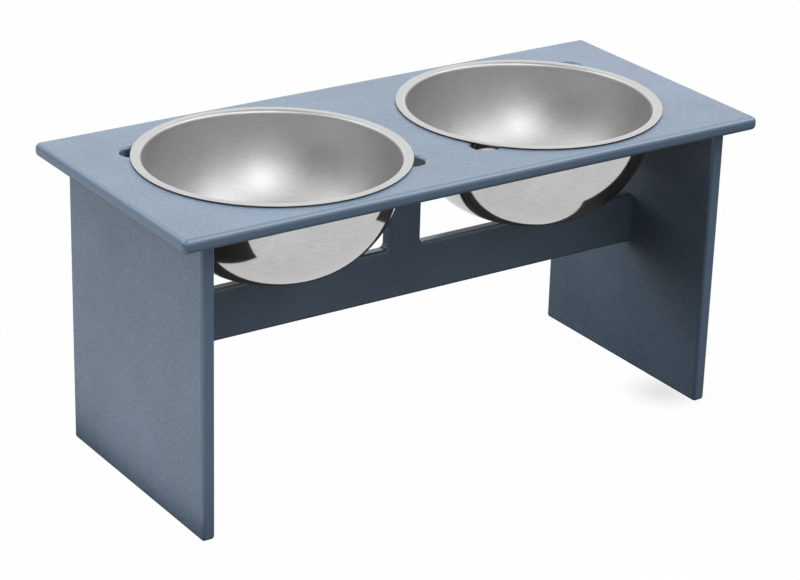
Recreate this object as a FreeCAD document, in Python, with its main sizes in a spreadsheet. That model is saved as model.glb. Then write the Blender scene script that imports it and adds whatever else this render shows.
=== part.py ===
import FreeCAD, Part
import Sketcher
import os

Vector = FreeCAD.Vector
Rotation = FreeCAD.Rotation
tolerance = 1e-4  # for telling edges apart by where they lie
roundness = 0.5523  # reach of a cubic's inner poles that makes it a quarter of an ellipse

doc = FreeCAD.newDocument("DogBowlStand")
sheet = doc.addObject("Spreadsheet::Sheet", "Sizes")

# Driving sizes in millimetres, the notch angle in degrees: cell alias, value, what it measures.
# X runs along the stand, Y to its back and Z up from the floor, with the origin under its middle.
drivingSizes = [
    ("sheet_thickness", 12.7, "plastic sheet of the panel, legs and stretcher"),
    ("edge_radius", 3.2, "roundover along the edges of the legs, stretcher and bowl holes"),
    ("panel_radius", 4.8, "roundover along the outer edges of the top panel"),
    ("leg_height", 277.8, "floor to the underside of the top panel"),
    ("leg_to_hole", 8.9, "inner face of a leg to the bowl hole beside it"),
    ("end_overhang", 25.4, "top panel past the outer face of a leg"),
    ("side_overhang", 15.9, "top panel past the front and back edges of a leg"),
    ("front_margin", 10.4, "bowl rim to the front or back edge of the top panel"),
    ("bowl_gap", 30.6, "between the rims of the two bowls"),
    ("bar_height", 50.0, "low bar of the stretcher"),
    ("post_to_hole", 4.0, "side of the stretcher's post to the bowl hole beside it"),
    ("shoulder_radius", 4.8, "inside corner between the bar and the post"),
    ("bowl_bar_gap", 5.2, "bottom of a bowl to the top of the bar"),
    ("wall_radius", 116.0, "outside of a bowl at the panel's upper face"),
    ("bowl_depth", 107.5, "outside of a bowl below the panel's upper face"),
    ("neck_height", 8.0, "upright part of a bowl's wall below the panel's upper face"),
    ("base_radius", 20.0, "flat bottom of a bowl"),
    ("steel_thickness", 1.0, "pressed steel of a bowl"),
    ("rim_width", 8.5, "flat rim past the outside of the bowl's wall"),
    ("rim_lift", 1.0, "space under the flat of the rim"),
    ("rim_edge", 0.3, "rounded edges of the rim"),
    ("lip_inset", 1.2, "edge of the rim past the lip that it rests on"),
    ("mouth_bend", 3.5, "upper side of the bend from the rim into the bowl"),
    ("hole_clearance", 2.0, "between a bowl's wall and its hole"),
    ("notch_radius", 12.7, "finger notch beside a bowl"),
    ("notch_reach", 9.7, "finger notch past the bowl's rim"),
    ("notch_angle", 35.0, "direction of the finger notches from the X axis"),
    ("cusp_extra", 1.0, "corner between a finger notch and its hole, past the roundover"),
    ("bracket_leg", 20.0, "either flange of a corner bracket, from its corner"),
    ("bracket_width", 24.0, "corner bracket along its bend"),
    ("bracket_thickness", 2.0, "steel of a corner bracket"),
    ("bend_radius", 1.5, "inside of a corner bracket's bend"),
    ("bracket_corner", 3.0, "rounded corners at the ends of a corner bracket"),
    ("screw_offset", 12.0, "screw from the bracket's corner"),
    ("screw_spacing", 12.0, "between the two screws of a flange"),
    ("front_inset", 47.0, "front edge of a leg to its front bracket"),
    ("rear_inset", 19.0, "back edge of a leg to its rear bracket"),
    ("screw_diameter", 3.5, "shank of a screw"),
    ("screw_length", 9.5, "screw under its head"),
    ("tip_length", 2.5, "pointed end of a screw"),
    ("tip_diameter", 0.8, "blunt tip of a screw"),
    ("head_diameter", 7.0, "pan head of a screw"),
    ("head_height", 2.2, "pan head of a screw"),
    ("head_radius", 1.0, "rounded edge of a screw head"),
    ("recess_length", 3.8, "cross recess of a screw, end to end"),
    ("recess_width", 0.9, "one slot of the cross recess"),
    ("recess_depth", 1.2, "cross recess of a screw"),
    ("pilot_clearance", 0.05, "round a screw in the plastic"),
    ("pilot_end_gap", 0.5, "beyond the tip of a screw"),
    ("bracket_clearance", 0.25, "round a screw in a bracket"),
]

# Sizes that follow from the driving ones: cell alias and formula.
followingSizes = [
    ("rim_radius", "wall_radius + rim_width"),
    ("hole_radius", "wall_radius + hole_clearance"),
    ("bowl_x", "rim_radius + bowl_gap / 2"),
    ("leg_inner_x", "bowl_x + hole_radius + leg_to_hole"),
    ("leg_outer_x", "leg_inner_x + sheet_thickness"),
    ("panel_end_x", "leg_outer_x + end_overhang"),
    ("panel_side_y", "rim_radius + front_margin"),
    ("leg_side_y", "panel_side_y - side_overhang"),
    ("sheet_half", "sheet_thickness / 2"),
    ("panel_top", "leg_height + sheet_thickness"),
    ("bar_top", "panel_top - bowl_depth - bowl_bar_gap"),
    ("bar_bottom", "bar_top - bar_height"),
    ("bar_middle", "bar_top - bar_height / 2"),
    ("post_half", "bowl_x - hole_radius - post_to_hole"),
    ("notch_distance", "rim_radius + notch_reach - notch_radius"),
    ("notch_dx", "notch_distance * cos(notch_angle * 1 deg)"),
    ("notch_dy", "notch_distance * sin(notch_angle * 1 deg)"),
    ("cusp_radius", "edge_radius + cusp_extra"),
    ("lip_outer", "rim_radius - lip_inset"),
    ("lip_inner", "lip_outer - steel_thickness"),
    ("mouth_wall", "wall_radius - steel_thickness"),
    ("rim_rise", "rim_lift + steel_thickness"),
    ("throat_bend", "mouth_bend - steel_thickness"),
    ("floor_inside", "bowl_depth - steel_thickness"),
    ("front_bracket_y", "front_inset - leg_side_y"),
    ("rear_bracket_y", "leg_side_y - rear_inset"),
    ("half_spacing", "screw_spacing / 2"),
    ("screw_row_x", "leg_inner_x - screw_offset"),
    ("screw_row_y", "sheet_half + screw_offset"),
    ("screw_row_z", "leg_height - screw_offset"),
    ("pilot_radius", "screw_diameter / 2 + pilot_clearance"),
    ("pilot_depth", "screw_length - bracket_thickness + pilot_end_gap"),
    ("bracket_hole", "screw_diameter / 2 + bracket_clearance"),
    ("outer_bend", "bend_radius + bracket_thickness"),
    ("screw_radius", "screw_diameter / 2"),
    ("shank_length", "screw_length - tip_length"),
]


def fillSheet():
    rows = [(alias, str(size), note) for alias, size, note in drivingSizes]
    rows += [(alias, "=" + formula, "follows") for alias, formula in followingSizes]
    for row, (alias, content, note) in enumerate(rows, start=1):
        sheet.set("A%d" % row, note)
        sheet.set("B%d" % row, content)
        sheet.setAlias("B%d" % row, alias)
    doc.recompute()


def value(text):
    return float(sheet.evalExpression(text.replace("Sizes.", "")))


def cell(alias, sign=1):
    return "Sizes." + alias if sign > 0 else "-Sizes." + alias


def bind(item, **expressions):
    for name, text in expressions.items():
        item.setExpression(name.replace("__", "."), text)


def newBody(label):
    body = doc.addObject("PartDesign::Body", label)
    body.Label = label
    return body


def newSketch(body, name, role, offset=None):
    sketch = body.newObject("Sketcher::SketchObject", name)
    plane = [item for item in body.Origin.OriginFeatures if item.Role == role][0]
    sketch.AttachmentSupport = [(plane, "")]
    sketch.MapMode = "FlatFace"
    if offset:
        sketch.setExpression("AttachmentOffset.Base.z", offset)
    return sketch


# Ties one point of a sketch's geometry to the sheet.
def pin(sketch, item, point, x, y):
    for kind, text in (("DistanceX", x), ("DistanceY", y)):
        number = sketch.addConstraint(Sketcher.Constraint(kind, -1, 1, item, point, value(text)))
        sketch.setExpression("Constraints[%d]" % number, text)


# Straight lines through points that are given as pairs of expressions.
def openOutline(sketch, points):
    corners = [Vector(value(x), value(y), 0) for x, y in points]
    lines = [sketch.addGeometry(Part.LineSegment(a, b)) for a, b in zip(corners, corners[1:])]
    for line, nextLine in zip(lines, lines[1:]):
        sketch.addConstraint(Sketcher.Constraint("Coincident", line, 2, nextLine, 1))
    for line, point in zip(lines, points):
        pin(sketch, line, 1, *point)
    pin(sketch, lines[-1], 2, *points[-1])
    return lines


def outline(sketch, points):
    lines = openOutline(sketch, points)
    ends = (Vector(value(x), value(y), 0) for x, y in (points[-1], points[0]))
    closing = sketch.addGeometry(Part.LineSegment(*ends))
    sketch.addConstraint(Sketcher.Constraint("Coincident", lines[-1], 2, closing, 1))
    sketch.addConstraint(Sketcher.Constraint("Coincident", closing, 2, lines[0], 1))


def circles(sketch, centres, radius):
    for x, y in centres:
        circle = Part.Circle(Vector(value(x), value(y), 0), Vector(0, 0, 1), value(radius))
        item = sketch.addGeometry(circle)
        pin(sketch, item, 3, x, y)
        number = sketch.addConstraint(Sketcher.Constraint("Radius", item, value(radius)))
        sketch.setExpression("Constraints[%d]" % number, radius)


def pad(body, sketch, length, middle=False):
    feature = body.newObject("PartDesign::Pad", sketch.Name + "Pad")
    feature.Profile = sketch
    feature.SideType = "Symmetric" if middle else "One side"
    bind(feature, Length=length)
    doc.recompute()


# Cuts the sketch's circles to a depth, or right through both ways, and makes sure that they cut.
def pocket(body, sketch, depth=None, reverse=False):
    before = body.Shape.Volume
    feature = body.newObject("PartDesign::Pocket", sketch.Name + "Pocket")
    feature.Profile = sketch
    if depth:
        feature.Reversed = reverse
        bind(feature, Length=depth)
    else:
        feature.Type = "ThroughAll"
        feature.SideType = "Symmetric"
    doc.recompute()
    if body.Shape.Volume > before - tolerance:
        raise RuntimeError(body.Label + ": " + sketch.Name + " cuts nothing")


def fillet(body, name, radius, chosen):
    base = body.Tip
    edges = ["Edge%d" % (i + 1) for i, edge in enumerate(base.Shape.Edges) if chosen(edge)]
    feature = body.newObject("PartDesign::Fillet", name)
    feature.Base = (base, edges)
    bind(feature, Radius=radius)
    doc.recompute()


def onPlane(edge, axis, level):
    places = [edge.valueAt(edge.FirstParameter), edge.valueAt(edge.LastParameter), edge.CenterOfMass]
    return all(abs(getattr(place, axis) - level) < tolerance for place in places)


# An upright straight edge that stands within a radius of a point.
def uprightNear(edge, x, y, reach):
    middle = edge.CenterOfMass
    ends = [edge.valueAt(edge.FirstParameter), edge.valueAt(edge.LastParameter)]
    upright = abs(ends[0].z - ends[1].z) > tolerance
    return upright and abs(Vector(middle.x - x, middle.y - y, 0).Length - reach) < tolerance


# Places of a bracket's two screws along its width, either side of its middle.
def rowOfTwo(alias):
    return [cell(alias) + " - Sizes.half_spacing", cell(alias) + " + Sizes.half_spacing"]


def topPanel():
    body = newBody("top_panel")
    bind(body, Placement__Base__z="Sizes.leg_height")
    plan = newSketch(body, "PanelPlan", "XY_Plane")
    corners = ((-1, -1), (1, -1), (1, 1), (-1, 1))
    outline(plan, [(cell("panel_end_x", sx), cell("panel_side_y", sy)) for sx, sy in corners])
    pad(body, plan, "Sizes.sheet_thickness")

    holes = newSketch(body, "BowlHoles", "XY_Plane")
    circles(holes, [(cell("bowl_x", side), "0") for side in (-1, 1)], "Sizes.hole_radius")
    pocket(body, holes)

    # The notches of each bowl lie on one line through its centre, and the two lines mirror each other.
    notches = newSketch(body, "FingerNotches", "XY_Plane")
    centres = []
    for side in (-1, 1):
        for end in (-1, 1):
            x = cell("bowl_x", side) + (" + " if end * side > 0 else " - ") + cell("notch_dx")
            centres.append((x, cell("notch_dy", end)))
    circles(notches, centres, "Sizes.notch_radius")
    pocket(body, notches)

    bowlX = value("bowl_x")
    notchSpots = [(value(x), value(y)) for x, y in centres]

    def isCusp(edge):
        onHole = any(uprightNear(edge, side * bowlX, 0, value("hole_radius")) for side in (-1, 1))
        return onHole and any(uprightNear(edge, x, y, value("notch_radius")) for x, y in notchSpots)

    fillet(body, "Cusps", "Sizes.cusp_radius", isCusp)
    cornerReach = Vector(value("panel_end_x"), value("panel_side_y"), 0).Length
    thickness = value("sheet_thickness")

    def onFaces(edge):
        return onPlane(edge, "z", 0) or onPlane(edge, "z", thickness)

    def isStraight(edge):
        return edge.Curve.TypeId == "Part::GeomLine"

    def isOuter(edge):
        return isStraight(edge) and onFaces(edge) or uprightNear(edge, 0, 0, cornerReach)

    fillet(body, "HoleEdges", "Sizes.edge_radius", lambda edge: onFaces(edge) and not isStraight(edge))
    fillet(body, "PanelEdges", "Sizes.panel_radius", isOuter)

    pilots = newSketch(body, "PanelPilots", "XY_Plane")
    spots = [("-Sizes.half_spacing", "Sizes.screw_row_y"), ("Sizes.half_spacing", "Sizes.screw_row_y")]
    for side in (-1, 1):
        for row in ("front_bracket_y", "rear_bracket_y"):
            spots += [(cell("screw_row_x", side), y) for y in rowOfTwo(row)]
    circles(pilots, spots, "Sizes.pilot_radius")
    pocket(body, pilots, "Sizes.pilot_depth", reverse=True)
    return body


def leg(label, side):
    body = newBody(label)
    plan = newSketch(body, label + "_plan", "XY_Plane")
    inner = cell("leg_inner_x", side)
    outer = cell("leg_outer_x", side)
    front = "-Sizes.leg_side_y"
    back = "Sizes.leg_side_y"
    outline(plan, [(inner, front), (outer, front), (outer, back), (inner, back)])
    pad(body, plan, "Sizes.leg_height")
    top = value("leg_height")
    fillet(body, label + "_edges", "Sizes.edge_radius", lambda edge: not onPlane(edge, "z", top))

    pilots = newSketch(body, label + "_pilots", "YZ_Plane", inner)
    spots = [("Sizes.screw_row_y", z) for z in rowOfTwo("bar_middle")]
    for row in ("front_bracket_y", "rear_bracket_y"):
        spots += [(y, "Sizes.screw_row_z") for y in rowOfTwo(row)]
    circles(pilots, spots, "Sizes.pilot_radius")
    pocket(body, pilots, "Sizes.pilot_depth", reverse=side > 0)
    return body


# Upside-down T between the legs: a low bar, and a post that carries the middle of the panel.
def stretcher():
    body = newBody("stretcher")
    face = newSketch(body, "StretcherFace", "XZ_Plane")
    rightHalf = [
        ("leg_inner_x", "bar_bottom"),
        ("leg_inner_x", "bar_top"),
        ("post_half", "bar_top"),
        ("post_half", "leg_height"),
    ]
    points = [(cell(x), cell(z)) for x, z in rightHalf]
    points += [(cell(x, -1), cell(z)) for x, z in reversed(rightHalf)]
    outline(face, points)
    pad(body, face, "Sizes.sheet_thickness", middle=True)

    endX = value("leg_inner_x")
    half = value("sheet_half")
    postX = value("post_half")
    postTop = value("leg_height")
    barTop = value("bar_top")

    def isShoulder(edge):
        besidePost = onPlane(edge, "x", -postX) or onPlane(edge, "x", postX)
        return besidePost and onPlane(edge, "z", barTop)

    fillet(body, "Shoulders", "Sizes.shoulder_radius", isShoulder)

    # The ends of the bar and the top of the post butt against other pieces and stay sharp.
    def isRounded(edge):
        onFace = onPlane(edge, "y", -half) or onPlane(edge, "y", half)
        atEnd = onPlane(edge, "x", -endX) or onPlane(edge, "x", endX)
        return onFace and not atEnd and not onPlane(edge, "z", postTop)

    fillet(body, "StretcherEdges", "Sizes.edge_radius", isRounded)

    pilots = newSketch(body, "StretcherPilots", "XZ_Plane", "-Sizes.sheet_half")
    spots = [("-Sizes.half_spacing", "Sizes.screw_row_z"), ("Sizes.half_spacing", "Sizes.screw_row_z")]
    for side in (-1, 1):
        spots += [(cell("screw_row_x", side), z) for z in rowOfTwo("bar_middle")]
    circles(pilots, spots, "Sizes.pilot_radius")
    pocket(body, pilots, "Sizes.pilot_depth", reverse=True)
    return body


# Quarter turn of an ellipse from a low point out and up to a high one, as a cubic with pinned poles.
def quarterTurn(sketch, low, high):
    nearLow = ("%s + %s * (%s - %s)" % (low[0], roundness, high[0], low[0]), low[1])
    nearHigh = (high[0], "%s + %s * (%s - %s)" % (high[1], roundness, low[1], high[1]))
    places = [low, nearLow, nearHigh, high]
    curve = Part.BSplineCurve()
    poles = [Vector(value(x), value(y), 0) for x, y in places]
    curve.buildFromPolesMultsKnots(poles, [4, 4], [0, 1], False, 3)
    item = sketch.addGeometry(curve)
    firstPole = sketch.GeometryCount
    sketch.exposeInternalGeometry(item)
    for number, place in enumerate(places):
        pin(sketch, firstPole + number, 3, *place)


# Pressed bowl, turned about its own axis, with its zero level on the panel that its rim rests on.
def bowl(label, side):
    body = newBody(label)
    bind(body, Placement__Base__x=cell("bowl_x", side), Placement__Base__z="Sizes.panel_top")
    profile = newSketch(body, label + "_profile", "XZ_Plane")
    rim = [
        ("Sizes.wall_radius", "-Sizes.neck_height"),
        ("Sizes.wall_radius", "Sizes.rim_lift"),
        ("Sizes.lip_inner", "Sizes.rim_lift"),
        ("Sizes.lip_inner", "0"),
        ("Sizes.lip_outer", "0"),
        ("Sizes.lip_outer", "Sizes.rim_lift"),
        ("Sizes.rim_radius", "Sizes.rim_lift"),
        ("Sizes.rim_radius", "Sizes.rim_rise"),
        ("Sizes.mouth_wall", "Sizes.rim_rise"),
        ("Sizes.mouth_wall", "-Sizes.neck_height"),
    ]
    base = [
        ("Sizes.base_radius", "-Sizes.floor_inside"),
        ("0", "-Sizes.floor_inside"),
        ("0", "-Sizes.bowl_depth"),
        ("Sizes.base_radius", "-Sizes.bowl_depth"),
    ]
    openOutline(profile, rim)
    openOutline(profile, base)
    quarterTurn(profile, base[-1], rim[0])
    quarterTurn(profile, base[0], rim[-1])
    turned = body.newObject("PartDesign::Revolution", label + "_turned")
    turned.Profile = profile
    turned.ReferenceAxis = (profile, ["V_Axis"])
    turned.Angle = 360
    doc.recompute()

    rimTop = value("rim_rise")
    rimUnder = value("rim_lift")

    def circleAt(edge, level, radius):
        return onPlane(edge, "z", level) and abs(edge.Curve.Radius - value(radius)) < tolerance

    def isRimEdge(edge):
        return circleAt(edge, rimTop, "rim_radius") or circleAt(edge, rimUnder, "rim_radius")

    fillet(body, label + "_throat", "Sizes.throat_bend", lambda edge: circleAt(edge, rimUnder, "wall_radius"))
    fillet(body, label + "_mouth", "Sizes.mouth_bend", lambda edge: circleAt(edge, rimTop, "mouth_wall"))
    fillet(body, label + "_rim_edges", "Sizes.rim_edge", isRimEdge)
    return body


# Places a piece that is drawn in a bracket's own frame: corner at the origin, one flange along X
# with its outer face up, the other hanging down along Z with its outer face towards -X.
def placeLikeBracket(item, axes, spot):
    item.Placement = FreeCAD.Placement(Vector(), Rotation(*axes, "XYZ"))
    bind(item, Placement__Base__x=spot[0], Placement__Base__y=spot[1], Placement__Base__z=spot[2])


def bracket(label, axes, spot):
    body = newBody(label)
    section = newSketch(body, label + "_section", "XZ_Plane")
    reach = "Sizes.bracket_leg"
    down = "-Sizes.bracket_leg"
    inward = "Sizes.bracket_thickness"
    below = "-Sizes.bracket_thickness"
    upper = [("0", "0"), (reach, "0"), (reach, below)]
    hanging = [(inward, below), (inward, down), ("0", down)]
    outline(section, upper + hanging)
    pad(body, section, "Sizes.bracket_width", middle=True)

    thickness = value("bracket_thickness")
    legLength = value("bracket_leg")
    halfWidth = value("bracket_width") / 2

    def isInnerBend(edge):
        return onPlane(edge, "x", thickness) and onPlane(edge, "z", -thickness)

    def isOuterBend(edge):
        return onPlane(edge, "x", 0) and onPlane(edge, "z", 0)

    def isFlangeCorner(edge):
        atSide = onPlane(edge, "y", -halfWidth) or onPlane(edge, "y", halfWidth)
        return atSide and (onPlane(edge, "x", legLength) or onPlane(edge, "z", -legLength))

    fillet(body, label + "_inner_bend", "Sizes.bend_radius", isInnerBend)
    fillet(body, label + "_outer_bend", "Sizes.outer_bend", isOuterBend)
    fillet(body, label + "_corners", "Sizes.bracket_corner", isFlangeCorner)

    rows = ["-Sizes.half_spacing", "Sizes.half_spacing"]
    upperHoles = newSketch(body, label + "_upper_holes", "XY_Plane")
    circles(upperHoles, [("Sizes.screw_offset", y) for y in rows], "Sizes.bracket_hole")
    pocket(body, upperHoles)
    hangingHoles = newSketch(body, label + "_hanging_holes", "YZ_Plane")
    circles(hangingHoles, [(y, "-Sizes.screw_offset") for y in rows], "Sizes.bracket_hole")
    pocket(body, hangingHoles)
    placeLikeBracket(body, axes, spot)
    return body


# Pan-head screw along +Z, with the underside of its head at the origin. Its thread is left plain.
def panHeadScrew():
    body = newBody("screw")
    shank = body.newObject("PartDesign::AdditiveCylinder", "Shank")
    bind(shank, Radius="Sizes.screw_radius", Height="Sizes.shank_length")
    tip = body.newObject("PartDesign::AdditiveCone", "Tip")
    bind(tip, Radius1="Sizes.screw_radius", Radius2="Sizes.tip_diameter / 2", Height="Sizes.tip_length")
    bind(tip, Placement__Base__z="Sizes.shank_length")
    head = body.newObject("PartDesign::AdditiveCylinder", "Head")
    bind(head, Radius="Sizes.head_diameter / 2", Height="Sizes.head_height")
    bind(head, Placement__Base__z="-Sizes.head_height")
    doc.recompute()
    top = value("head_height")
    fillet(body, "HeadEdge", "Sizes.head_radius", lambda edge: onPlane(edge, "z", -top))
    long = ("Sizes.recess_length", "-Sizes.recess_length / 2")
    wide = ("Sizes.recess_width", "-Sizes.recess_width / 2")
    bottom = "-Sizes.head_height"
    slots = {"SlotAlong": (long, wide), "SlotAcross": (wide, long)}
    for name, ((length, startX), (width, startY)) in slots.items():
        slot = body.newObject("PartDesign::SubtractiveBox", name)
        bind(slot, Length=length, Width=width, Height="Sizes.recess_depth")
        bind(slot, Placement__Base__x=startX, Placement__Base__y=startY, Placement__Base__z=bottom)
        doc.recompute()
    return body


# The four screws of one bracket: two up through its flat flange, two sideways through the hanging one.
def screwSet(label, screw, axes, spot):
    upwards = Rotation()
    sideways = Rotation(Vector(0, 0, 1), Vector(-1, 0, 0))
    seats = [
        (upwards, "Sizes.screw_offset", "-Sizes.bracket_thickness"),
        (sideways, "Sizes.bracket_thickness", "-Sizes.screw_offset"),
    ]
    links = []
    for turn, x, z in seats:
        for y in ("-Sizes.half_spacing", "Sizes.half_spacing"):
            link = doc.addObject("App::Link", "%s_%d" % (label, len(links) + 1))
            link.LinkedObject = screw
            link.Placement = FreeCAD.Placement(Vector(), turn)
            bind(link, Placement__Base__x=x, Placement__Base__y=y, Placement__Base__z=z)
            links.append(link)
    group = doc.addObject("Part::Compound", label)
    group.Label = label
    group.Links = links
    placeLikeBracket(group, axes, spot)
    return group


alongX = Vector(1, 0, 0)
alongY = Vector(0, 1, 0)
alongZ = Vector(0, 0, 1)

# Each bracket's own axes in the stand's frame, by where it sits: under the panel against a leg or
# the post, or upright behind the stretcher's bar against a leg.
againstLeg = {-1: (alongX, alongY, alongZ), 1: (-alongX, -alongY, alongZ)}
againstPost = (alongY, -alongX, alongZ)
behindBar = {-1: (alongX, alongZ, -alongY), 1: (-alongX, -alongZ, -alongY)}


def bracketPlaces():
    places = {"post_bracket": (againstPost, ("0", "Sizes.sheet_half", "Sizes.leg_height"))}
    for name, side in (("left", -1), ("right", 1)):
        wall = cell("leg_inner_x", side)
        for row in ("front", "rear"):
            spot = (wall, "Sizes.%s_bracket_y" % row, "Sizes.leg_height")
            places["%s_%s_bracket" % (name, row)] = (againstLeg[side], spot)
        spot = (wall, "Sizes.sheet_half", "Sizes.bar_middle")
        places["stretcher_%s_bracket" % name] = (behindBar[side], spot)
    return places


def checkDocument(pieces):
    for item in doc.Objects:
        if "Invalid" in item.State or "Error" in item.State:
            raise RuntimeError(item.Name + " failed: " + item.getStatusString())
    for piece in pieces:
        if piece.Shape.isNull() or not piece.Shape.isValid() or not piece.Shape.Solids:
            raise RuntimeError(piece.Label + " has no valid solid")


fillSheet()
pieces = [topPanel(), leg("left_leg", -1), leg("right_leg", 1), stretcher()]
pieces += [bowl("left_bowl", -1), bowl("right_bowl", 1)]
screw = panHeadScrew()
for label, (axes, spot) in bracketPlaces().items():
    pieces.append(bracket(label, axes, spot))
    pieces.append(screwSet(label + "_screws", screw, axes, spot))
doc.recompute()
checkDocument(pieces)

os.makedirs("parts", exist_ok=True)
for piece in pieces:
    piece.Shape.exportStep("parts/%s.step" % piece.Label)
    print(piece.Label, len(piece.Shape.Solids), "solids, volume %.1f" % piece.Shape.Volume)
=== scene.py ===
import bpy
import bmesh
import math
from mathutils import Matrix, Vector


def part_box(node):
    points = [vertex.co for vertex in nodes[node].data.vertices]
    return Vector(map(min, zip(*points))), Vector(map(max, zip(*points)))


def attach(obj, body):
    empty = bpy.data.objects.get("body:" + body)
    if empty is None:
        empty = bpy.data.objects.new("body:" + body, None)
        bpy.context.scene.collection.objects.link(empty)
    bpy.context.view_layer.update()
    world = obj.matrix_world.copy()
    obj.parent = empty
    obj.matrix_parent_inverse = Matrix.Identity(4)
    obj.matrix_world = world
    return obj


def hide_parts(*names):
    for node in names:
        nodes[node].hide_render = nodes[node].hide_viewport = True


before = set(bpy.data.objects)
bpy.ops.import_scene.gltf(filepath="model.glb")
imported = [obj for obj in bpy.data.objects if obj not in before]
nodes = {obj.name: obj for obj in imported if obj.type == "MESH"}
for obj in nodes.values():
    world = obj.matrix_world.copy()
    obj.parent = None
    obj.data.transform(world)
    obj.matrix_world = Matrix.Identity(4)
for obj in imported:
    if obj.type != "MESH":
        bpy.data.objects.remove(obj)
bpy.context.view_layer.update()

scene = bpy.context.scene
print("frame loaded:", len(nodes), "nodes")


# small helpers for building node trees

def putNode(tree, kind, place, inputs=None, **settings):
    node = tree.nodes.new("ShaderNode" + kind)
    node.location = place
    for name, setting in settings.items():
        setattr(node, name, setting)
    for name, amount in (inputs or {}).items():
        node.inputs[name].default_value = amount
    return node


def wire(tree, fromSocket, toSocket):
    tree.links.new(fromSocket, toSocket)


def newGroup(name, inputs, outputs):
    group = bpy.data.node_groups.new(name, "ShaderNodeTree")
    for socketName, kind, start in inputs:
        socket = group.interface.new_socket(
            socketName, in_out="INPUT", socket_type="NodeSocket" + kind)
        socket.default_value = start
    for socketName, kind in outputs:
        group.interface.new_socket(
            socketName, in_out="OUTPUT", socket_type="NodeSocket" + kind)
    entry = group.nodes.new("NodeGroupInput")
    entry.location = (-1200, 0)
    leave = group.nodes.new("NodeGroupOutput")
    leave.location = (900, 0)
    return group, entry, leave


def placeGroup(tree, group, place, values):
    node = tree.nodes.new("ShaderNodeGroup")
    node.node_tree = group
    node.location = place
    for name, amount in values.items():
        node.inputs[name].default_value = amount
    return node


def newMaterial(name):
    material = bpy.data.materials.new(name)
    material.use_nodes = True
    tree = material.node_tree
    shader = tree.nodes["Principled BSDF"]
    return material, tree, shader


def mathNode(tree, operation, place, first=None, second=None):
    node = putNode(tree, "Math", place, operation=operation)
    for index, source in enumerate((first, second)):
        if source is None:
            continue
        if isinstance(source, (int, float)):
            node.inputs[index].default_value = source
        else:
            wire(tree, source, node.inputs[index])
    return node.outputs[0]


def ramp(tree, place, source, low, high, fromLow=0.0, fromHigh=1.0, smooth=False):
    node = putNode(tree, "MapRange", place)
    if smooth:
        node.interpolation_type = "SMOOTHSTEP"
    wire(tree, source, node.inputs["Value"])
    node.inputs["From Min"].default_value = fromLow
    node.inputs["From Max"].default_value = fromHigh
    node.inputs["To Min"].default_value = low
    node.inputs["To Max"].default_value = high
    return node.outputs["Result"]


# shared surface effects

grainLook = {
    "flatFrom": 0.992,  # how squarely a spot faces along the sheet's axis to count as its broad face
    "flatFull": 0.9995,
    "pebbleNoise": {"Detail": 3.0, "Roughness": 0.6},
    "cutterNoise": {"Detail": 1.0},
    "cutterDepth": 0.12,
    "cloudNoise": {"Scale": 9.0, "Detail": 4.0, "Roughness": 0.6},
    "pebbleShare": 0.75,  # of the tone, the rest is clouds
}


# broad faces of the sheet are finely pebbled, its routed edges are smooth with faint cutter lines
def buildSheetGrain():
    group, entry, leave = newGroup(
        "sheetGrain",
        [("Face Axis", "Vector", (0, 0, 1)), ("Pebble Scale", "Float", 700.0),
         ("Cutter Scale", "Float", 2500.0)],
        [("Face", "Float"), ("Height", "Float"), ("Tone", "Float")])
    coords = putNode(group, "TexCoord", (-1200, -300))
    along = putNode(group, "VectorMath", (-950, 150), operation="DOT_PRODUCT")
    wire(group, coords.outputs["Normal"], along.inputs[0])
    wire(group, entry.outputs["Face Axis"], along.inputs[1])
    facing = mathNode(group, "ABSOLUTE", (-780, 150), along.outputs["Value"])
    face = ramp(group, (-600, 150), facing, 0.0, 1.0, grainLook["flatFrom"], grainLook["flatFull"], smooth=True)

    pebbles = putNode(group, "TexNoise", (-800, -150), grainLook["pebbleNoise"])
    wire(group, coords.outputs["Object"], pebbles.inputs["Vector"])
    wire(group, entry.outputs["Pebble Scale"], pebbles.inputs["Scale"])
    depth = putNode(group, "VectorMath", (-950, -450), operation="DOT_PRODUCT")
    wire(group, coords.outputs["Object"], depth.inputs[0])
    wire(group, entry.outputs["Face Axis"], depth.inputs[1])
    lines = putNode(group, "TexNoise", (-700, -450), grainLook["cutterNoise"], noise_dimensions="1D")
    wire(group, depth.outputs["Value"], lines.inputs["W"])
    wire(group, entry.outputs["Cutter Scale"], lines.inputs["Scale"])
    quietLines = mathNode(group, "MULTIPLY", (-450, -450), lines.outputs["Fac"], grainLook["cutterDepth"])
    height = putNode(group, "Mix", (-200, -200), data_type="FLOAT")
    wire(group, face, height.inputs["Factor"])
    wire(group, quietLines, height.inputs[2])
    wire(group, pebbles.outputs["Fac"], height.inputs[3])

    clouds = putNode(group, "TexNoise", (-800, 450), grainLook["cloudNoise"])
    wire(group, coords.outputs["Object"], clouds.inputs["Vector"])
    tone = putNode(group, "Mix", (-200, 350), {"Factor": grainLook["pebbleShare"]}, data_type="FLOAT")
    wire(group, clouds.outputs["Fac"], tone.inputs[2])
    wire(group, pebbles.outputs["Fac"], tone.inputs[3])
    wire(group, face, leave.inputs["Face"])
    wire(group, height.outputs[0], leave.inputs["Height"])
    wire(group, tone.outputs[0], leave.inputs["Tone"])
    return group


ringLook = {
    "ringNoise": {"Scale": 1.0, "Detail": 3.0, "Roughness": 0.65},
    "smudgeNoise": {"Detail": 5.0, "Roughness": 0.6, "Distortion": 0.6},
    "smudgeShare": 0.35,  # of the tone, the rest is rings
}


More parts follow.
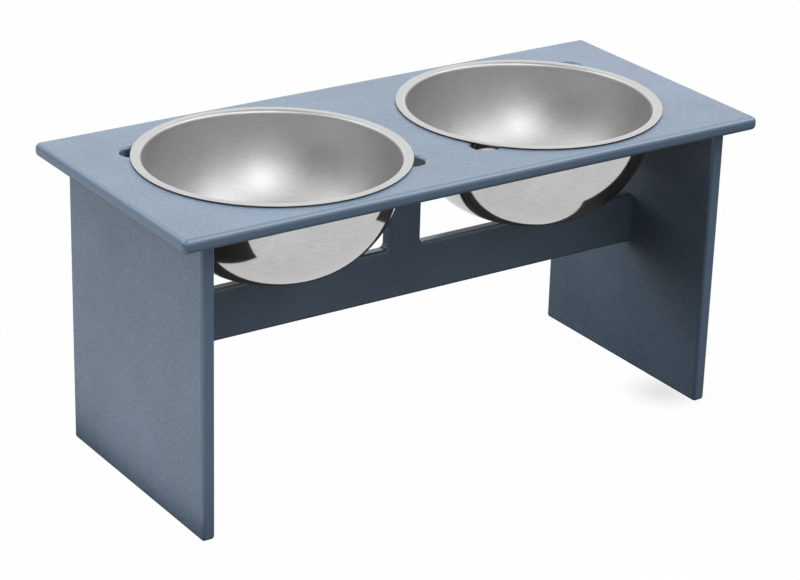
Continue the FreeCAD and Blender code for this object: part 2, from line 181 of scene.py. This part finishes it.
# rings of spinning and polishing about the piece's own upright axis
def buildSpunRings():
    group, entry, leave = newGroup(
        "spunRings",
        [("Ring Scale", "Float", 900.0), ("Arcs", "Float", 14.0), ("Smudge Scale", "Float", 22.0)],
        [("Rings", "Float"), ("Smudge", "Float"), ("Tone", "Float")])
    coords = putNode(group, "TexCoord", (-1200, -250))
    parts = putNode(group, "SeparateXYZ", (-1000, -250))
    wire(group, coords.outputs["Object"], parts.inputs[0])
    angle = mathNode(group, "ARCTAN2", (-800, -150), parts.outputs["Y"], parts.outputs["X"])
    flat = putNode(group, "CombineXYZ", (-800, -350))
    wire(group, parts.outputs["X"], flat.inputs["X"])
    wire(group, parts.outputs["Y"], flat.inputs["Y"])
    outward = putNode(group, "VectorMath", (-620, -350), operation="LENGTH")
    wire(group, flat.outputs[0], outward.inputs[0])
    shortAngle = mathNode(group, "MULTIPLY", (-620, -150), angle, entry.outputs["Arcs"])
    ringScale = entry.outputs["Ring Scale"]
    radial = mathNode(group, "MULTIPLY", (-440, -350), outward.outputs["Value"], ringScale)
    upward = mathNode(group, "MULTIPLY", (-440, -520), parts.outputs["Z"], ringScale)
    turned = putNode(group, "CombineXYZ", (-240, -300))
    wire(group, radial, turned.inputs["X"])
    wire(group, upward, turned.inputs["Y"])
    wire(group, shortAngle, turned.inputs["Z"])
    rings = putNode(group, "TexNoise", (0, -300), ringLook["ringNoise"])
    wire(group, turned.outputs[0], rings.inputs["Vector"])
    smudge = putNode(group, "TexNoise", (0, 200), ringLook["smudgeNoise"])
    wire(group, coords.outputs["Object"], smudge.inputs["Vector"])
    wire(group, entry.outputs["Smudge Scale"], smudge.inputs["Scale"])
    tone = putNode(group, "Mix", (300, 0), {"Factor": ringLook["smudgeShare"]}, data_type="FLOAT")
    wire(group, rings.outputs["Fac"], tone.inputs[2])
    wire(group, smudge.outputs["Fac"], tone.inputs[3])
    wire(group, rings.outputs["Fac"], leave.inputs["Rings"])
    wire(group, tone.outputs[0], leave.inputs["Tone"])
    wire(group, smudge.outputs["Fac"], leave.inputs["Smudge"])
    return group


streakLook = {
    "streakNoise": {"Detail": 3.0, "Roughness": 0.6},
    "stainNoise": {"Scale": 60.0, "Detail": 4.0},
}


# short rolled streaks of stamped or headed stainless steel
def buildMillStreaks():
    group, entry, leave = newGroup(
        "millStreaks",
        [("Stretch", "Vector", (1, 1, 1)), ("Streak Scale", "Float", 900.0)],
        [("Streak", "Float"), ("Stain", "Float")])
    coords = putNode(group, "TexCoord", (-1000, 0))
    drawn = putNode(group, "VectorMath", (-800, 0), operation="MULTIPLY")
    wire(group, coords.outputs["Object"], drawn.inputs[0])
    wire(group, entry.outputs["Stretch"], drawn.inputs[1])
    streak = putNode(group, "TexNoise", (-500, 0), streakLook["streakNoise"])
    wire(group, drawn.outputs[0], streak.inputs["Vector"])
    wire(group, entry.outputs["Streak Scale"], streak.inputs["Scale"])
    stain = putNode(group, "TexNoise", (-500, -300), streakLook["stainNoise"])
    wire(group, coords.outputs["Object"], stain.inputs["Vector"])
    wire(group, streak.outputs["Fac"], leave.inputs["Streak"])
    wire(group, stain.outputs["Fac"], leave.inputs["Stain"])
    return group


sheetGrain = buildSheetGrain()
spunRings = buildSpunRings()
millStreaks = buildMillStreaks()
print("surface groups built")


# plastic sheet pieces: the panel, both legs and the stretcher

sheetLook = {
    "dark": (0.126, 0.184, 0.260, 1),
    "light": (0.294, 0.424, 0.596, 1),
    "edge": (0.215, 0.320, 0.460, 1),
    "toneRange": (0.35, 0.65),
    "bounceDiffuse": 0.02,  # painted shade: dark grey that bounced light and reflections meet in place of the sheet's colour
    "bounceMirrored": 0.14,
    "pebbleScale": 800.0,
    "cutterScale": 2200.0,
    "pebbleBump": 0.20,
    "bumpDistance": 0.0006,
    "faceRoughness": (0.42, 0.50),
    "roughRange": (0.3, 0.7),
    "edgeRoughness": 0.17,
    "specular": 1.0,
    "skinGloss": 0.6,
    "skinRoughness": 0.48,
    "pieces": {
        "top_panel": (0, 0, 1),
        "left_leg": (1, 0, 0),
        "right_leg": (1, 0, 0),
        "stretcher": (0, 1, 0),
    },
}


def sheetMaterial(name, faceAxis):
    material, tree, shader = newMaterial(name)
    shader.inputs["Specular IOR Level"].default_value = sheetLook["specular"]
    shader.inputs["Coat Roughness"].default_value = sheetLook["skinRoughness"]
    grain = placeGroup(tree, sheetGrain, (-900, 0), {
        "Face Axis": faceAxis,
        "Pebble Scale": sheetLook["pebbleScale"],
        "Cutter Scale": sheetLook["cutterScale"]})
    faceColour = putNode(tree, "Mix", (-600, 300), data_type="RGBA")
    faceColour.inputs[6].default_value = sheetLook["dark"]
    faceColour.inputs[7].default_value = sheetLook["light"]
    wire(tree, ramp(tree, (-780, 350), grain.outputs["Tone"], 0, 1, *sheetLook["toneRange"]),
         faceColour.inputs["Factor"])
    colour = putNode(tree, "Mix", (-380, 300), data_type="RGBA")
    colour.inputs[6].default_value = sheetLook["edge"]
    wire(tree, faceColour.outputs[2], colour.inputs[7])
    wire(tree, grain.outputs["Face"], colour.inputs["Factor"])
    # painted shade: bounced light and reflections meet dark grey in place of the sheet's colour, so corners,
    # hollows and the spaces between pieces come out darker
    path = putNode(tree, "LightPath", (-380, 650))
    mirrored = path.outputs["Is Glossy Ray"]
    passed = mathNode(tree, "MAXIMUM", (-180, 600), path.outputs["Is Diffuse Ray"], mirrored)
    paintedBounceShade = putNode(tree, "Mix", (-180, 350), data_type="RGBA")
    wire(tree, passed, paintedBounceShade.inputs["Factor"])
    wire(tree, colour.outputs[2], paintedBounceShade.inputs[6])
    grey = ramp(tree, (-180, 850), mirrored, sheetLook["bounceDiffuse"], sheetLook["bounceMirrored"])
    wire(tree, grey, paintedBounceShade.inputs[7])
    wire(tree, paintedBounceShade.outputs[2], shader.inputs["Base Color"])

    faceRough = ramp(tree, (-600, 0), grain.outputs["Tone"], *sheetLook["faceRoughness"],
                     *sheetLook["roughRange"])
    rough = putNode(tree, "Mix", (-380, 0), data_type="FLOAT")
    wire(tree, grain.outputs["Face"], rough.inputs["Factor"])
    rough.inputs[2].default_value = sheetLook["edgeRoughness"]
    wire(tree, faceRough, rough.inputs[3])
    wire(tree, rough.outputs[0], shader.inputs["Roughness"])

    skin = mathNode(tree, "MULTIPLY", (-380, -150), grain.outputs["Face"], sheetLook["skinGloss"])
    wire(tree, skin, shader.inputs["Coat Weight"])

    bump = putNode(tree, "Bump", (-380, -300), {
        "Strength": sheetLook["pebbleBump"], "Distance": sheetLook["bumpDistance"]})
    wire(tree, grain.outputs["Height"], bump.inputs["Height"])
    wire(tree, bump.outputs["Normal"], shader.inputs["Normal"])
    return material


sheetMaterials = {}
for nodeName, faceAxis in sheetLook["pieces"].items():
    if faceAxis not in sheetMaterials:
        sheetMaterials[faceAxis] = sheetMaterial("pebbledSheet%d" % (len(sheetMaterials) + 1), faceAxis)
    mesh = nodes[nodeName].data
    mesh.materials.clear()
    mesh.materials.append(sheetMaterials[faceAxis])
print("sheet pieces dressed")


# pressed steel bowls, turned about their own axes

bowlLook = {
    "wallRadius": 0.1160,
    "neckHeight": 0.0080,
    "baseRadius": 0.0200,
    "depth": 0.1075,
    "steel": 0.0010,
    "rimTop": 0.0020,
    "rimSteel": 0.0008,
    "rimEdge": 0.00035,
    "beadSetBack": 0.0030,
    "beadWidth": 0.0008,
    "mouthBend": 0.0035,
    "throatBend": 0.0025,
    "neckShare": 0.6,  # of the neck, where the wall turns straight
    "bottomSteps": 6,
    "wallSteps": 72,
    "throatSteps": 8,
    "beadSteps": 8,
    "edgeSteps": 5,
    "mouthSteps": 14,
    "turnSteps": 256,
    "sharpAngle": 50,
    "toneRange": (0.25, 0.75),
    "roughRange": (0.12, 0.40),
    "bumpDistance": 0.0002,
    "bounce": (0.05, 0.05, 0.05, 1),  # painted shade: dark grey that bounced light meets in place of the steel's colour
    "finishes": {
        "bowlOutsidePolish": {
            "colours": ((0.58, 0.58, 0.58, 1), (0.82, 0.82, 0.82, 1)),
            "roughness": (0.07, 0.11), "ringScale": 700.0, "bumpStrength": 0.02},
        "bowlRimBright": {
            "colours": ((0.61, 0.61, 0.61, 1), (0.65, 0.65, 0.65, 1)),
            "roughness": (0.44, 0.52), "ringScale": 1600.0, "bumpStrength": 0.02},
        "bowlInsideSatin": {
            "colours": ((0.47, 0.47, 0.47, 1), (0.67, 0.67, 0.67, 1)),
            "roughness": (0.44, 0.50), "ringScale": 1300.0, "bumpStrength": 0.01},
    },
}


def cornerArc(centre, radius, startAngle, endAngle, count):
    points = []
    for step in range(count + 1):
        angle = math.radians(startAngle + (endAngle - startAngle) * step / count)
        points.append((centre[0] + radius * math.cos(angle), centre[1] + radius * math.sin(angle)))
    return points


# cubic quarter turn between a low point near the axis and a high point on the wall
def wallCurve(low, high, count):
    reach = 0.5523  # makes the cubic a quarter of an ellipse
    nearLow = (low[0] + reach * (high[0] - low[0]), low[1])
    nearHigh = (high[0], high[1] + reach * (low[1] - high[1]))
    points = []
    for step in range(count + 1):
        t = step / count
        weights = ((1 - t) ** 3, 3 * t * (1 - t) ** 2, 3 * t * t * (1 - t), t ** 3)
        places = (low, nearLow, nearHigh, high)
        points.append(tuple(sum(w * p[axis] for w, p in zip(weights, places)) for axis in (0, 1)))
    return points


# runs of (material index, points) from the outside of the bottom over the rim to the inside
def bowlProfile(rimRadius):
    look = bowlLook
    wall, mouth = look["wallRadius"], look["wallRadius"] - look["steel"]
    top, under = look["rimTop"], look["rimTop"] - look["rimSteel"]
    edge, mouthBend, throat = look["rimEdge"], look["mouthBend"], look["throatBend"]
    base, depth, neck = look["baseRadius"], look["depth"], look["neckHeight"]
    straight = -neck * look["neckShare"]
    floorInside = look["steel"] - depth
    flatSteps = [base * step / look["bottomSteps"] for step in range(look["bottomSteps"])]
    bead = rimRadius - look["beadSetBack"]
    beadHalf = look["beadWidth"] / 2
    outside = [(r, -depth) for r in flatSteps]
    outside += wallCurve((base, -depth), (wall, -neck), look["wallSteps"])
    outside += [(wall, straight)]
    outside += cornerArc((wall + throat, under - throat), throat, 180, 90, look["throatSteps"])
    outside += [(bead - beadHalf, under)]
    outside += cornerArc((bead, beadHalf), beadHalf, 180, 360, look["beadSteps"])
    outside += [(bead + beadHalf, under), (rimRadius - edge, under)]
    rim = cornerArc((rimRadius - edge, under + edge), edge, 270, 360, look["edgeSteps"])
    rim += cornerArc((rimRadius - edge, top - edge), edge, 0, 90, look["edgeSteps"])
    rim += [((rimRadius + wall) / 2, top)]
    rim += cornerArc((mouth + mouthBend, top - mouthBend), mouthBend, 90, 180, look["mouthSteps"])
    inside = [rim[-1], (mouth, straight)]
    inside += reversed(wallCurve((base, floorInside), (mouth, -neck), look["wallSteps"]))
    inside += [(r, floorInside) for r in reversed(flatSteps)]
    return [(0, outside), (1, rim), (2, inside)]


def bowlPiece(name, centre, rimRadius, materials):
    mesh = bmesh.new()
    steps = bowlLook["turnSteps"]
    turn = 2 * math.pi / steps
    ring = {}

    def ringAt(point):
        key = (round(point[0], 7), round(point[1], 7))
        if key not in ring:
            r, z = point
            if r < 1e-6:  # on the axis
                ring[key] = [mesh.verts.new((0, 0, z))]
            else:
                ring[key] = [mesh.verts.new((r * math.cos(turn * i), r * math.sin(turn * i), z))
                             for i in range(steps)]
        return ring[key]

    for index, points in bowlProfile(rimRadius):
        for first, second in zip(points, points[1:]):
            lower, upper = ringAt(first), ringAt(second)
            for i in range(steps):
                j = (i + 1) % steps
                if len(lower) == 1:
                    corners = (lower[0], upper[j], upper[i])
                elif len(upper) == 1:
                    corners = (lower[i], lower[j], upper[0])
                else:
                    corners = (lower[i], lower[j], upper[j], upper[i])
                face = mesh.faces.new(corners)
                face.material_index = index
                face.smooth = True
    bmesh.ops.recalc_face_normals(mesh, faces=mesh.faces)
    data = bpy.data.meshes.new(name)
    mesh.to_mesh(data)
    mesh.free()
    data.set_sharp_from_angle(angle=math.radians(bowlLook["sharpAngle"]))
    for material in materials:
        data.materials.append(material)
    piece = bpy.data.objects.new(name, data)
    piece.location = centre
    scene.collection.objects.link(piece)
    return piece


def steelMaterial(name, colours, roughness, ringScale, bumpStrength):
    material, tree, shader = newMaterial(name)
    shader.inputs["Metallic"].default_value = 1.0
    rings = placeGroup(tree, spunRings, (-900, 0), {"Ring Scale": ringScale})
    colour = putNode(tree, "Mix", (-380, 300), data_type="RGBA")
    colour.inputs[6].default_value = colours[0]
    colour.inputs[7].default_value = colours[1]
    wire(tree, ramp(tree, (-620, 300), rings.outputs["Tone"], 0, 1, *bowlLook["toneRange"]),
         colour.inputs["Factor"])
    # painted shade: bounced light meets dark grey in place of the steel, so the steel lights the sheets little
    path = putNode(tree, "LightPath", (-380, 650))
    paintedBounceShade = putNode(tree, "Mix", (-180, 350), data_type="RGBA")
    wire(tree, path.outputs["Is Diffuse Ray"], paintedBounceShade.inputs["Factor"])
    wire(tree, colour.outputs[2], paintedBounceShade.inputs[6])
    paintedBounceShade.inputs[7].default_value = bowlLook["bounce"]
    wire(tree, paintedBounceShade.outputs[2], shader.inputs["Base Color"])
    blend = mathNode(tree, "MULTIPLY", (-620, 0), rings.outputs["Rings"], rings.outputs["Smudge"])
    wire(tree, ramp(tree, (-380, 0), blend, *roughness, *bowlLook["roughRange"]), shader.inputs["Roughness"])
    bump = putNode(tree, "Bump", (-380, -300), {
        "Strength": bumpStrength, "Distance": bowlLook["bumpDistance"]})
    wire(tree, rings.outputs["Rings"], bump.inputs["Height"])
    wire(tree, bump.outputs["Normal"], shader.inputs["Normal"])
    return material


# in the order of the profile's runs: outside, rim, inside
bowlMaterials = [steelMaterial(name, **finish) for name, finish in bowlLook["finishes"].items()]
bowlPieces = []
for side in ("left", "right"):
    low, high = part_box(side + "_bowl")
    rimRadius = (high.x - low.x) / 2
    centre = ((low.x + high.x) / 2, (low.y + high.y) / 2, high.z - bowlLook["rimTop"])
    piece = bowlPiece(side + "_bowl_spun", centre, rimRadius, bowlMaterials)
    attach(piece, side + "_bowl")
    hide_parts(side + "_bowl")
    bowlPieces.append(piece)
print("bowls turned")


# brackets and their screws

hardwareLook = {
    "roughRange": (0.3, 0.7),
    "bumpStrength": 0.15,
    "bumpDistance": 0.0001,
    "bracket": {
        "colours": ((0.44, 0.44, 0.435, 1), (0.56, 0.56, 0.55, 1)),
        "roughness": (0.30, 0.46), "stretch": (1, 0.06, 1), "streakScale": 1400.0},
    "screw": {
        "colours": ((0.50, 0.50, 0.49, 1), (0.62, 0.62, 0.61, 1)),
        "roughness": (0.24, 0.38), "stretch": (1, 1, 1), "streakScale": 2400.0},
}


def hardwareMaterial(name, colours, roughness, stretch, streakScale):
    material, tree, shader = newMaterial(name)
    shader.inputs["Metallic"].default_value = 1.0
    streaks = placeGroup(tree, millStreaks, (-900, 0), {
        "Stretch": stretch, "Streak Scale": streakScale})
    colour = putNode(tree, "Mix", (-380, 300), data_type="RGBA")
    colour.inputs[6].default_value = colours[0]
    colour.inputs[7].default_value = colours[1]
    wire(tree, streaks.outputs["Stain"], colour.inputs["Factor"])
    wire(tree, colour.outputs[2], shader.inputs["Base Color"])
    wire(tree, ramp(tree, (-380, 0), streaks.outputs["Streak"], *roughness, *hardwareLook["roughRange"]),
         shader.inputs["Roughness"])
    bump = putNode(tree, "Bump", (-380, -300), {
        "Strength": hardwareLook["bumpStrength"], "Distance": hardwareLook["bumpDistance"]})
    wire(tree, streaks.outputs["Streak"], bump.inputs["Height"])
    wire(tree, bump.outputs["Normal"], shader.inputs["Normal"])
    return material


bracketSteel = hardwareMaterial("stampedBracketSteel", **hardwareLook["bracket"])
screwSteel = hardwareMaterial("headedScrewSteel", **hardwareLook["screw"])
for nodeName, node in nodes.items():
    if "bracket" in nodeName:
        node.data.materials.clear()
        node.data.materials.append(screwSteel if nodeName.endswith("_screws") else bracketSteel)
print("brackets and screws dressed")


# floor, light and camera

studioLook = {
    "floorSize": 14.0,
    "floorRoughness": 0.9,
    "floorColour": (0.07, 0.07, 0.07, 1),  # under the white, and in reflections
    "floorBounce": (0.02, 0.02, 0.02, 1),  # for bounced light
    "floorWhite": 0.99,
    # painted shadow on the floor beside the right leg: its middle, the distances over which it fades, and how
    # much white it takes away
    "paintedShadowPlace": (0.258, -0.085, 0),
    "paintedShadowReach": (0.0, 0.05),
    "paintedShadowDepth": 0.22,
    "cardHeight": 0.003,
    "lampAim": (0, 0, 0.25),
    "wallSideSoftness": 8,
    "cameraPlace": (-1.27906, -1.86623, 1.10785),
    "cameraYaw": 0.60093,
    "cameraPitch": 0.40727,
    "cameraRoll": -0.02893,
    "cameraLens": 119.265,
    "cameraSensor": 36.0,
}

# bright parts of the studio: compass direction from the back, half width, lowest and highest
# elevation, softness of those limits, and how strongly they light a surface and show in a reflection
studioWalls = {
    "backLow": (34, 52, -5, 30, 6, 0.06, 1.15),
    "backHigh": (34, 52, 30, 58, 6, 0.35, 0.90),
    "leftBackLow": (312, 30, -5, 30, 6, 1.50, 0.40),
    "leftBackHigh": (312, 30, 30, 62, 6, 0.92, 2.17),
    "rightHigh": (115, 30, 34, 66, 6, 2.20, 2.43),
    "rightLow": (115, 30, -5, 34, 6, 0.0, 0.14),
    "frontHigh": (190, 45, 36, 66, 6, 0.49, 1.45),
    "frontLow": (190, 45, -5, 36, 6, 0.06, 0.45),
    "frontRightLow": (150, 35, -5, 36, 6, 0.39, 0.0),
    "leftHigh": (258, 24, 34, 66, 6, 0.0, 0.86),
    "leftLow": (258, 24, -5, 34, 6, 0.11, 0.0),
    "zenith": (0, 180, 66, 95, 6, 2.40, 0.0),
}

# lamps for the bowls alone: compass direction, elevation, distance, size, power
bowlLamps = {
    "keyLamp": (204, 38, 2.2, (0.40, 0.40), 7.6),
    "sideLamp": (158, 40, 2.2, (0.60, 0.60), 1.4),
}

# bright cards that lie on the floor: middle, size, power, whether they light the bowls or the sheets,
# and whether they show in reflections
floorCards = {
    "bowlCard": ((0.0, 0.1), (2.4, 2.4), 12.0, "bowls", True),
    "leftCard": ((-0.95, 0.45), (1.3, 2.1), 3.7, "sheets", True),
    "frontCard": ((0.0, -0.9), (2.4, 1.4), 1.3, "sheets", False),
}


def buildFloor():
    half = studioLook["floorSize"] / 2
    mesh = bpy.data.meshes.new("floor")
    corners = [(-half, -half, 0), (half, -half, 0), (half, half, 0), (-half, half, 0)]
    mesh.from_pydata(corners, [], [(0, 1, 2, 3)])
    floor = bpy.data.objects.new("floor", mesh)
    scene.collection.objects.link(floor)
    material, tree, shader = newMaterial("paleFloor")
    shader.inputs["Roughness"].default_value = studioLook["floorRoughness"]
    shader.inputs["Specular IOR Level"].default_value = 0.0
    # the camera sees white paper, reflections see a dark floor, and it throws little light back up
    path = putNode(tree, "LightPath", (-900, 300))
    mirrored = mathNode(tree, "MAXIMUM", (-700, 200), path.outputs["Is Glossy Ray"],
                        path.outputs["Is Transmission Ray"])
    shown = mathNode(tree, "MAXIMUM", (-500, 250), path.outputs["Is Camera Ray"], mirrored)
    colour = putNode(tree, "Mix", (-300, 200), data_type="RGBA")
    wire(tree, shown, colour.inputs["Factor"])
    colour.inputs[6].default_value = studioLook["floorBounce"]
    colour.inputs[7].default_value = studioLook["floorColour"]
    wire(tree, colour.outputs[2], shader.inputs["Base Color"])
    # painted shadow: the white thins out with distance from a fixed spot beside the front foot of the right
    # leg, so the dark floor shows through there as a shadow
    geometry = putNode(tree, "NewGeometry", (-900, 600))
    away = putNode(tree, "VectorMath", (-700, 600), operation="DISTANCE")
    wire(tree, geometry.outputs["Position"], away.inputs[0])
    away.inputs[1].default_value = studioLook["paintedShadowPlace"]
    lightest = studioLook["floorWhite"]
    white = ramp(tree, (-400, 600), away.outputs["Value"], lightest - studioLook["paintedShadowDepth"], lightest,
                 *studioLook["paintedShadowReach"], smooth=True)
    seen = mathNode(tree, "MULTIPLY", (0, 350), path.outputs["Is Camera Ray"], white)
    paper = putNode(tree, "Emission", (0, -200), {"Strength": 1.0})
    mix = putNode(tree, "MixShader", (300, 100))
    wire(tree, seen, mix.inputs["Fac"])
    wire(tree, shader.outputs[0], mix.inputs[1])
    wire(tree, paper.outputs[0], mix.inputs[2])
    wire(tree, mix.outputs[0], tree.nodes["Material Output"].inputs["Surface"])
    mesh.materials.append(material)


# level of one bright part of the studio in the direction that is looked at
def buildStudioWall():
    group, entry, leave = newGroup(
        "studioWall",
        [("Direction", "Vector", (0, 0, 0)), ("Flat Direction", "Vector", (0, 0, 0)),
         ("Towards", "Vector", (0, 1, 0)), ("Side Start", "Float", 0.0), ("Side Full", "Float", 0.3),
         ("Low Start", "Float", -1.0), ("Low Full", "Float", -0.9),
         ("High Full", "Float", 0.4), ("High End", "Float", 0.5), ("Level", "Float", 1.0)],
        [("Light", "Float")])
    side = putNode(group, "VectorMath", (-900, 200), operation="DOT_PRODUCT")
    wire(group, entry.outputs["Flat Direction"], side.inputs[0])
    wire(group, entry.outputs["Towards"], side.inputs[1])
    height = putNode(group, "SeparateXYZ", (-900, -200))
    wire(group, entry.outputs["Direction"], height.inputs[0])
    total = entry.outputs["Level"]
    limits = ((side.outputs["Value"], "Side Start", "Side Full", 0, 1),
              (height.outputs["Z"], "Low Start", "Low Full", 0, 1),
              (height.outputs["Z"], "High Full", "High End", 1, 0))
    for row, (source, start, end, low, high) in enumerate(limits):
        limit = putNode(group, "MapRange", (-500, 300 - 300 * row), {"To Min": low, "To Max": high})
        limit.interpolation_type = "SMOOTHSTEP"
        wire(group, source, limit.inputs["Value"])
        wire(group, entry.outputs[start], limit.inputs["From Min"])
        wire(group, entry.outputs[end], limit.inputs["From Max"])
        total = mathNode(group, "MULTIPLY", (-100 + 200 * row, 0), total, limit.outputs["Result"])
    wire(group, total, leave.inputs["Light"])
    return group


# sine of an elevation, going on in a straight line past the zenith
def sineOf(elevation):
    return math.sin(math.radians(elevation)) if elevation < 90 else 1 + (elevation - 90) * 0.01


def compass(angle, elevation=0.0):
    turn, tilt = math.radians(angle), math.radians(elevation)
    return Vector((math.sin(turn) * math.cos(tilt), math.cos(turn) * math.cos(tilt), math.sin(tilt)))


# cosines between which a bright part fades in at its sides, or always in where it goes all round
def sideLimits(halfWidth):
    if halfWidth >= 180:
        return -3, -2
    softness = min(studioLook["wallSideSoftness"], halfWidth / 2)
    return math.cos(math.radians(halfWidth + softness)), math.cos(math.radians(halfWidth - softness))


def buildWorld():
    world = bpy.data.worlds.new("studio")
    scene.world = world
    world.use_nodes = True
    tree = world.node_tree
    background = tree.nodes["Background"]
    coords = putNode(tree, "TexCoord", (-1600, 0))
    flatten = putNode(tree, "VectorMath", (-1400, 150), operation="MULTIPLY")
    wire(tree, coords.outputs["Generated"], flatten.inputs[0])
    flatten.inputs[1].default_value = (1, 1, 0)
    flat = putNode(tree, "VectorMath", (-1200, 150), operation="NORMALIZE")
    wire(tree, flatten.outputs[0], flat.inputs[0])
    wallGroup = buildStudioWall()
    total = None
    path = putNode(tree, "LightPath", (-1600, 800))
    for row, bright in enumerate(studioWalls.values()):
        angle, halfWidth, lowest, highest, softness, light, mirrored = bright
        up = 500 - 350 * row
        sideStart, sideFull = sideLimits(halfWidth)
        wall = placeGroup(tree, wallGroup, (-900, up), {
            "Towards": compass(angle),
            "Side Start": sideStart, "Side Full": sideFull,
            "Low Start": sineOf(lowest - softness), "Low Full": sineOf(lowest + softness),
            "High Full": sineOf(highest - softness), "High End": sineOf(highest + softness)})
        level = ramp(tree, (-1150, up), path.outputs["Is Glossy Ray"], light, mirrored)
        wire(tree, level, wall.inputs["Level"])
        wire(tree, coords.outputs["Generated"], wall.inputs["Direction"])
        wire(tree, flat.outputs[0], wall.inputs["Flat Direction"])
        total = mathNode(tree, "ADD", (-600, up), wall.outputs["Light"], total or 0.0)
    # white to the camera
    strength = putNode(tree, "Mix", (-200, 100), data_type="FLOAT")
    wire(tree, path.outputs["Is Camera Ray"], strength.inputs["Factor"])
    wire(tree, total, strength.inputs[2])
    strength.inputs[3].default_value = 1.0
    background.inputs["Color"].default_value = (1, 1, 1, 1)
    wire(tree, strength.outputs[0], background.inputs["Strength"])


def addLamp(name, place, aim, size, power, receivers, mirrored=True):
    lamp = bpy.data.lights.new(name, "AREA")
    lamp.shape = "RECTANGLE"
    lamp.size, lamp.size_y = size
    lamp.energy = power
    item = bpy.data.objects.new(name, lamp)
    item.location = place
    item.rotation_euler = (aim - place).to_track_quat("-Z", "Y").to_euler()
    item.visible_camera = False
    item.visible_glossy = mirrored
    item.light_linking.receiver_collection = receivers
    scene.collection.objects.link(item)


def buildLamps():
    lit = {"bowls": bowlPieces, "sheets": [nodes[name] for name in sheetLook["pieces"]]}
    receivers = {}
    for group, members in lit.items():
        receivers[group] = bpy.data.collections.new("lit_" + group)
        for member in members:
            receivers[group].objects.link(member)
    middle = Vector(studioLook["lampAim"])
    for name, (angle, elevation, distance, size, power) in bowlLamps.items():
        place = middle + distance * compass(angle, elevation)
        addLamp(name, place, middle, size, power, receivers["bowls"])
    for name, (place, size, power, group, mirrored) in floorCards.items():
        low = Vector((*place, studioLook["cardHeight"]))
        addLamp(name, low, low + Vector((0, 0, 1)), size, power, receivers[group], mirrored)


def buildCamera():
    yaw, pitch, roll = (studioLook[key] for key in ("cameraYaw", "cameraPitch", "cameraRoll"))
    ahead = Vector((math.sin(yaw) * math.cos(pitch), math.cos(yaw) * math.cos(pitch), -math.sin(pitch)))
    level = Vector((math.cos(yaw), -math.sin(yaw), 0))
    down = ahead.cross(level)
    right = math.cos(roll) * level + math.sin(roll) * down
    under = -math.sin(roll) * level + math.cos(roll) * down
    turn = Matrix((right, -under, -ahead)).transposed().to_4x4()
    data = bpy.data.cameras.new("photoCamera")
    data.lens = studioLook["cameraLens"]
    data.sensor_width = studioLook["cameraSensor"]
    camera = bpy.data.objects.new("photoCamera", data)
    camera.matrix_world = Matrix.Translation(studioLook["cameraPlace"]) @ turn
    scene.collection.objects.link(camera)
    scene.camera = camera


buildFloor()
buildWorld()
buildLamps()
buildCamera()
scene.view_settings.view_transform = "Standard"
print("studio set")
